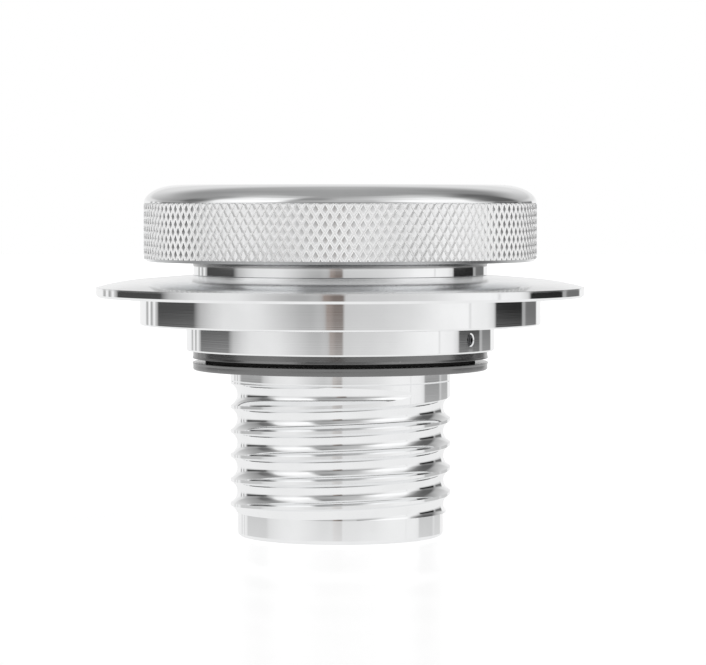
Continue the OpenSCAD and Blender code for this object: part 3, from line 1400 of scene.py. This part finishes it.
@dataclass(frozen=True)
class TurnedMetal:
    """Metal finished on a lathe and polished, with fine lines round the axis."""

    name: str
    colour: Colour = (0.93, 0.935, 0.94)
    rough: float = 0.035
    rough_change: float = 0.02
    lines: float = 5.0
    line_bump: float = 0.0025
    bump_strength: float = 0.25
    worn_range: Point = (0.35, 0.7)
    worn_shade: float = 0.975
    speck_share: float = 0.06
    speck_strength: float = 0.5
    speck_colour: Colour = (0.55, 0.55, 0.55)
    speck_rough: float = 0.3
    anisotropy: float = 0.3
    quarter_turn: float = 0.25
    satin_above: float = NOWHERE
    satin_blur: float = 0.2
    satin: float = 0.1
    # A band of painted shade between two heights, in mm: darker colour and more roughness.
    painted_shade_band: Point = (NOWHERE, NOWHERE + 1)
    painted_shade_blur: float = 0.15
    painted_shade_colour: Colour = (0.42, 0.42, 0.42)
    painted_shade_rough: float = 0.2

    def build(self) -> Material:
        """Builds the material.

        Returns:
            The material.
        """
        material, hand, shader = start_material(self.name)
        lines = hand.group(Groups.turning_lines(), Lines_per_mm=self.lines)
        specks = hand.group(Groups.specks(), Share=self.speck_share)
        cloud = hand.group(Groups.grain())
        worn = hand.steps(cloud.outputs["Cloud"], *self.worn_range, 0.0, 1.0)
        clean = hand.mix(worn, self.colour, tuple(c * self.worn_shade for c in self.colour))
        dust = hand.times(specks.outputs["Mask"], self.speck_strength)
        height = hand.add("SeparateXYZ", i0=hand.place()).outputs[2]
        # Mask of the band of painted shade, by height.
        low, high = (edge * MM for edge in self.painted_shade_band)
        blur = self.painted_shade_blur * MM
        over = hand.steps(height, low - blur, low + blur, 0.0, 1.0)
        painted_shade = hand.times(over, hand.math("LESS_THAN", height, high))
        edge, blur = self.satin_above * MM, self.satin_blur * MM
        rough = hand.total(
            hand.times(lines.outputs["Streak"], self.rough_change),
            hand.times(worn, self.rough_change / 2),
            self.rough,
            hand.times(dust, self.speck_rough),
            hand.steps(height, edge - blur, edge + blur, 0.0, self.satin),
            hand.times(painted_shade, self.painted_shade_rough),
        )
        tangent = hand.add("Tangent", {"direction_type": "RADIAL", "axis": "Z"})
        hand.wire(
            shader,
            # The band of painted shade darkens the colour.
            Base_Color=hand.mix(painted_shade, hand.mix(dust, clean, self.speck_colour), self.painted_shade_colour),
            Roughness=rough,
            Normal=hand.bump(self.bump_strength, self.line_bump, lines.outputs["Height"]),
            Tangent=tangent.outputs[0],
            Metallic=1.0,
            Anisotropic=self.anisotropy,
            Anisotropic_Rotation=self.quarter_turn,
        )
        return material


@dataclass(frozen=True)
class KnurledMetal:
    """Rolled knurl: fine-turned lands, and frosted valleys between them painted whiter, a painted
    highlight on the net.
    """

    name: str
    tip_radius: float
    colour: Colour = (0.965, 0.967, 0.97)
    # Colour of the valleys, whiter than the lands: a painted highlight on the net.
    valley: Colour = (1.0, 1.0, 1.0)
    land_rough: float = 0.23
    valley_rough: float = 0.42
    valley_start: float = 0.03
    valley_full: float = 0.11
    cloud_range: Point = (0.3, 0.7)
    cloud_rough: float = 0.05
    bump_strength: float = 0.3
    grain_bump: float = 0.01

    def build(self) -> Material:
        """Builds the material.

        Returns:
            The material.
        """
        material, hand, shader = start_material(self.name)
        radius, _ = hand.axial()
        start = (self.tip_radius - self.valley_start) * MM
        full = (self.tip_radius - self.valley_full) * MM
        # Valley mask by depth: it makes the valleys rougher and paints them whiter, a painted
        # highlight.
        valley = hand.steps(radius, full, start, 1.0, 0.0)
        grain = hand.group(Groups.grain())
        hand.wire(
            shader,
            Base_Color=hand.mix(valley, self.colour, self.valley),
            Roughness=hand.total(
                hand.times(valley, self.valley_rough - self.land_rough),
                hand.steps(grain.outputs["Cloud"], *self.cloud_range, 0.0, self.cloud_rough),
                self.land_rough,
            ),
            Normal=hand.bump(self.bump_strength, self.grain_bump, grain.outputs["Height"]),
            Metallic=1.0,
        )
        return material


@dataclass(frozen=True)
class Rubber:
    """Moulded black rubber with a fine grain and a little pale dust."""

    name: str
    colour: Colour = (0.007, 0.0072, 0.0075)
    dusty: Colour = (0.02, 0.0205, 0.021)
    rough: float = 0.13
    worn_range: Point = (0.35, 0.75)
    worn_share: float = 0.6
    worn_rough: float = 0.06
    gloss: float = 1.0
    bend: float = 1.9
    bump_strength: float = 0.5
    grain_bump: float = 0.02
    specks_per_mm: float = 1.6
    speck_size: float = 0.16
    speck_share: float = 0.16
    speck_strength: float = 0.6
    speck_colour: Colour = (0.35, 0.35, 0.34)

    def build(self) -> Material:
        """Builds the material.

        Returns:
            The material.
        """
        material, hand, shader = start_material(self.name)
        grain = hand.group(Groups.grain())
        specks = hand.group(
            Groups.specks(), Per_mm=self.specks_per_mm, Size=self.speck_size, Share=self.speck_share,
        )
        worn = hand.steps(grain.outputs["Cloud"], *self.worn_range, 0.0, self.worn_share)
        dust = hand.times(specks.outputs["Mask"], self.speck_strength)
        hand.wire(
            shader,
            Base_Color=hand.mix(dust, hand.mix(worn, self.colour, self.dusty), self.speck_colour),
            Roughness=hand.total(hand.times(worn, self.worn_rough), self.rough),
            Normal=hand.bump(self.bump_strength, self.grain_bump, grain.outputs["Height"]),
            Specular_IOR_Level=self.gloss,
            IOR=self.bend,
        )
        return material


@dataclass(frozen=True)
class DarkSteel:
    """Steel with a dark oxide finish, worn a little bright."""

    name: str
    colour: Colour = (0.09, 0.09, 0.095)
    bright: Colour = (0.42, 0.41, 0.4)
    rough: float = 0.45
    worn_range: Point = (0.55, 0.75)
    worn_share: float = 0.7
    worn_smooth: float = 0.15
    grain_per_mm: float = 8.0
    bump_strength: float = 0.3
    grain_bump: float = 0.01

    def build(self) -> Material:
        """Builds the material.

        Returns:
            The material.
        """
        material, hand, shader = start_material(self.name)
        grain = hand.group(Groups.grain(), Per_mm=self.grain_per_mm)
        worn = hand.steps(grain.outputs["Height"], *self.worn_range, 0.0, self.worn_share)
        hand.wire(
            shader,
            Base_Color=hand.mix(worn, self.colour, self.bright),
            Roughness=hand.math("SUBTRACT", self.rough, hand.times(worn, self.worn_smooth)),
            Normal=hand.bump(self.bump_strength, self.grain_bump, grain.outputs["Height"]),
            Metallic=1.0,
        )
        return material


@dataclass(frozen=True)
class Glow:
    """Brightness towards an azimuth, in degrees from the camera's side (-Y) to the right."""

    azimuth: float
    light: float
    tint: Colour = (1.0, 1.0, 1.0)


@dataclass(frozen=True)
class Ring:
    """A ring of the studio, fully seen from one elevation to another, in degrees."""

    low: float
    high: float
    glows: tuple[Glow, ...]

    @classmethod
    def of(cls, low: float, high: float, *glows: tuple) -> "Ring":
        """Makes a ring from its elevations and its glows' azimuths, lights and tints."""
        return cls(low, high, tuple(Glow(*glow) for glow in glows))


BROWN: Colour = (1.0, 0.84, 0.76)
# The softboxes and dark cards, from below the horizon upwards.
RINGS = (
    Ring.of(
        -90, 2,
        (-180, 0.93), (-148, 0.93), (-146.5, 0.45), (-143.5, 0.45), (-142, 0.95), (-139.5, 0.95),
        (-138, 0.4), (-135.5, 0.4), (-134.5, 0.9), (-131.5, 0.9), (-130.5, 0.5), (-128.5, 0.5),
        (-127, 0.065), (-91.5, 0.065), (-89.5, 0.25), (-86, 0.47), (-82, 0.56), (-77, 0.68),
        (-69, 0.8), (-52, 0.84), (-46, 0.8), (-22, 0.45), (-16, 0.42), (-12, 0.47), (-8.6, 0.45),
        (-7.8, 0.32, BROWN), (-4.6, 0.28, BROWN), (-3.6, 0.2, BROWN), (1.4, 0.19, BROWN),
        (2.4, 0.6), (24, 0.66), (40, 0.74), (50, 0.85), (60, 0.94), (78.4, 0.97), (79, 0.6),
        (79.8, 0.95), (92, 0.9), (98, 0.72), (99.8, 0.02), (126.5, 0.02), (127.5, 0.4),
        (131.5, 0.4), (132.5, 0.17), (151, 0.17), (153, 0.93), (180, 0.93),
    ),
    Ring.of(
        8, 10,
        (-180, 0.9), (-143, 0.78), (-130, 0.48), (-118, 0.4), (-108, 0.36), (-98, 0.2),
        (-92, 0.3), (-78, 0.9), (-52, 0.9), (-34, 0.45), (-12, 0.24), (6, 0.26), (34, 0.46),
        (52, 0.9), (84, 0.95), (98, 0.5), (104, 0.2), (125, 0.22), (133, 0.45), (150, 0.75),
        (180, 0.9),
    ),
    Ring.of(
        15, 23,
        (-180, 0.8), (-165, 0.75), (-152, 0.6), (-130, 0.42), (-112, 0.3), (-104, 0.15),
        (-92, 0.18), (-86, 0.4), (-80, 0.95), (-66, 1.1), (-38, 1.1), (-29, 0.42), (-16, 0.42),
        (0, 0.5), (20, 0.53), (34, 0.95), (42, 1.1), (80, 1.05), (88, 0.55), (98, 0.2),
        (108, 0.12), (124, 0.12), (133, 0.45), (155, 0.62), (167, 0.75), (180, 0.8),
    ),
    Ring.of(
        42, 47,
        (-180, 0.46), (-147, 0.31), (-111, 0.33), (-98, 0.3), (-88, 0.4), (-76, 0.8), (-60, 1.0),
        (-36, 0.9), (-26, 0.29), (-12, 0.29), (0, 0.5), (15, 0.55), (40, 0.78), (60, 0.95),
        (84, 0.75), (96, 0.3), (110, 0.16), (126, 0.13), (142, 0.26), (156, 0.28), (180, 0.46),
    ),
    Ring.of(
        60, 64,
        (-180, 0.38), (-150, 0.34), (-108, 0.42), (-80, 0.6), (-40, 0.58), (-22, 0.35),
        (-8, 0.38), (20, 0.48), (50, 0.63), (84, 0.63), (110, 0.4), (130, 0.32), (180, 0.38),
    ),
)
# How far the light from below takes over from the lowest ring, by elevation in degrees.
WASH: tuple[Point, ...] = ((-10.0, 1.0), (-6.0, 0.72), (-3.5, 0.46), (-2.6, 0.1), (-2.1, 0.0))
# The most stops that one colour ramp can hold.
RAMP_STOPS = 32


@dataclass
class Studio:
    """White studio with dark cards beside the object, a pale floor and the camera."""

    focal: float = 163.2
    sensor: float = 36.0
    clip: Point = (0.01, 20.0)
    distance: float = 590.7
    eye_height: float = 61.9
    pitch_down: float = 2.37
    offset: float = 2.34
    floor_size: float = 6000.0
    floor_colour: Colour = (0.9, 0.9, 0.9)
    floor_rough: float = 0.08
    floor_bend: float = 1.02
    floor_glow: float = 0.53
    rings: tuple[Ring, ...] = RINGS
    overhead: float = 0.36
    overhead_blend: float = 12.0
    below: float = 0.9
    backdrop: float = 1.0
    bounces: int = 12

    @staticmethod
    def _round(hand: NodeTree, share: Socket, ring: Ring) -> Socket:
        """Turns a ring's glows into a colour by azimuth, from two ramps where one can't hold them.

        Args:
            hand: The wiring hand.
            share: The azimuth, from 0 to 1 for -180 to 180 degrees.
            ring: The ring.

        Returns:
            The ring's colour.
        """
        stops = [((g.azimuth + 180) / 360, tuple(g.light * t for t in g.tint)) for g in ring.glows]
        if len(stops) <= RAMP_STOPS:
            return hand.ramp(share, stops)
        half = len(stops) // 2
        left, right = (hand.ramp(share, part) for part in (stops[:half + 1], stops[half:]))
        return hand.mix(hand.math("GREATER_THAN", share, stops[half][0]), left, right)

    def light(self) -> None:
        """Builds the world: plain to the camera, and softboxes and cards to what reflects."""
        world = bpy.data.worlds.new("studio")
        bpy.context.scene.world = world
        world.use_nodes = True
        world.node_tree.nodes.clear()
        hand = NodeTree(world.node_tree)
        x, y, z = hand.add("SeparateXYZ", i0=hand.add("TexCoord").outputs["Generated"]).outputs
        azimuth = hand.math("ARCTAN2", x, hand.times(y, -1.0))
        share = hand.total(hand.math("DIVIDE", azimuth, FULL_TURN), 0.5)
        height = hand.times(hand.math("ARCSINE", z), 180 / math.pi)
        colour = self._round(hand, share, self.rings[0])
        for under, ring in zip(self.rings, self.rings[1:]):
            blend = hand.steps(height, float(under.high), float(ring.low), 0.0, 1.0)
            colour = hand.mix(blend, colour, self._round(hand, share, ring))
        last = float(self.rings[-1].high)
        above = hand.steps(height, last, last + self.overhead_blend, 0.0, 1.0)
        colour = hand.mix(above, colour, (self.overhead,) * 3)
        level = hand.total(hand.math("DIVIDE", height, 180.0), 0.5)
        wash = hand.ramp(level, [((e + 90) / 180, (w, w, w)) for e, w in WASH])
        colour = hand.mix(hand.add("RGBToBW", i0=wash).outputs[0], colour, (self.below,) * 3)
        seen = hand.add("LightPath").outputs["Is Camera Ray"]
        shown = hand.mix(seen, colour, (self.backdrop,) * 3)
        sky = hand.add("Background", i0=shown, Strength=1.0)
        hand.add("OutputWorld", Surface=sky.outputs[0])
        bpy.context.scene.cycles.glossy_bounces = self.bounces

    def floor(self) -> None:
        """Lays the pale floor, as white as the backdrop and clear from below."""
        Bench.clear()
        bpy.ops.mesh.primitive_plane_add(size=self.floor_size * MM, location=(0, 0, 0))
        floor = bpy.context.object
        floor.name = "floor"
        material, hand, shader = start_material("floor_white")
        hand.wire(
            shader,
            Base_Color=(*self.floor_colour, 1),
            Roughness=self.floor_rough,
            IOR=self.floor_bend,
            Emission_Color=(1, 1, 1, 1),
            Emission_Strength=self.floor_glow,
            Alpha=hand.math("SUBTRACT", 1.0, hand.add("NewGeometry").outputs["Backfacing"]),
        )
        floor.data.materials.append(material)
        floor.visible_glossy = False

    def camera(self) -> None:
        """Sets the camera at the photo's viewing angle."""
        data = bpy.data.cameras.new("camera")
        data.lens = self.focal
        data.sensor_width = self.sensor
        data.clip_start, data.clip_end = self.clip
        camera = bpy.data.objects.new("camera", data)
        camera.location = Vector((self.offset, -self.distance, self.eye_height)) * MM
        camera.rotation_euler = (math.radians(90 - self.pitch_down), 0, 0)
        bpy.context.scene.collection.objects.link(camera)
        bpy.context.scene.camera = camera
        bpy.context.scene.view_settings.view_transform = "Standard"


def main() -> None:
    """Builds, dresses and reports every piece."""
    logging.basicConfig(level=logging.INFO, format="%(name)s: %(message)s")
    levels = Levels.from_frame()
    studio = Studio()
    studio.camera()
    studio.light()
    studio.floor()

    cap = FuelCap(levels)
    flange = FillerFlange(levels)
    # The cap's metal carries the band of painted shade on the shoulder under the rim.
    polished = TurnedMetal("polished_aluminium", painted_shade_band=cap.painted_shade_band()).build()
    domed = TurnedMetal("domed_aluminium", satin_above=flange.satin_above).build()
    knurled = KnurledMetal("knurled_aluminium", levels.cap_radius).build()
    neck_metal = TurnedMetal("turned_aluminium", rough=0.05).build()
    rubber = Rubber("gasket_rubber").build()
    # A matt copy of the rubber for the web, coloured to paint the slot's shade.
    slot_shade_rubber = Rubber(
        "slot_shade_rubber", colour=(0.06, 0.06, 0.06), dusty=(0.08, 0.08, 0.08), rough=0.9, gloss=0.1,
        bend=1.4, speck_share=0.0,
    ).build()
    ring_rubber = Rubber(
        "ring_rubber", colour=(0.02, 0.02, 0.021), rough=0.38, speck_share=0.05,
    ).build()
    steel = DarkSteel("oxide_steel").build()

    cap.build(polished, knurled)
    flange.build(domed)
    SetScrew(flange).build(steel)
    HoseNeck(levels).build(neck_metal)
    Gaskets(levels).build(rubber, slot_shade_rubber)
    for seal in ("cap_seal", "neck_seal"):
        coat(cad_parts[seal], ring_rubber)


if __name__ == "__main__":
    main()
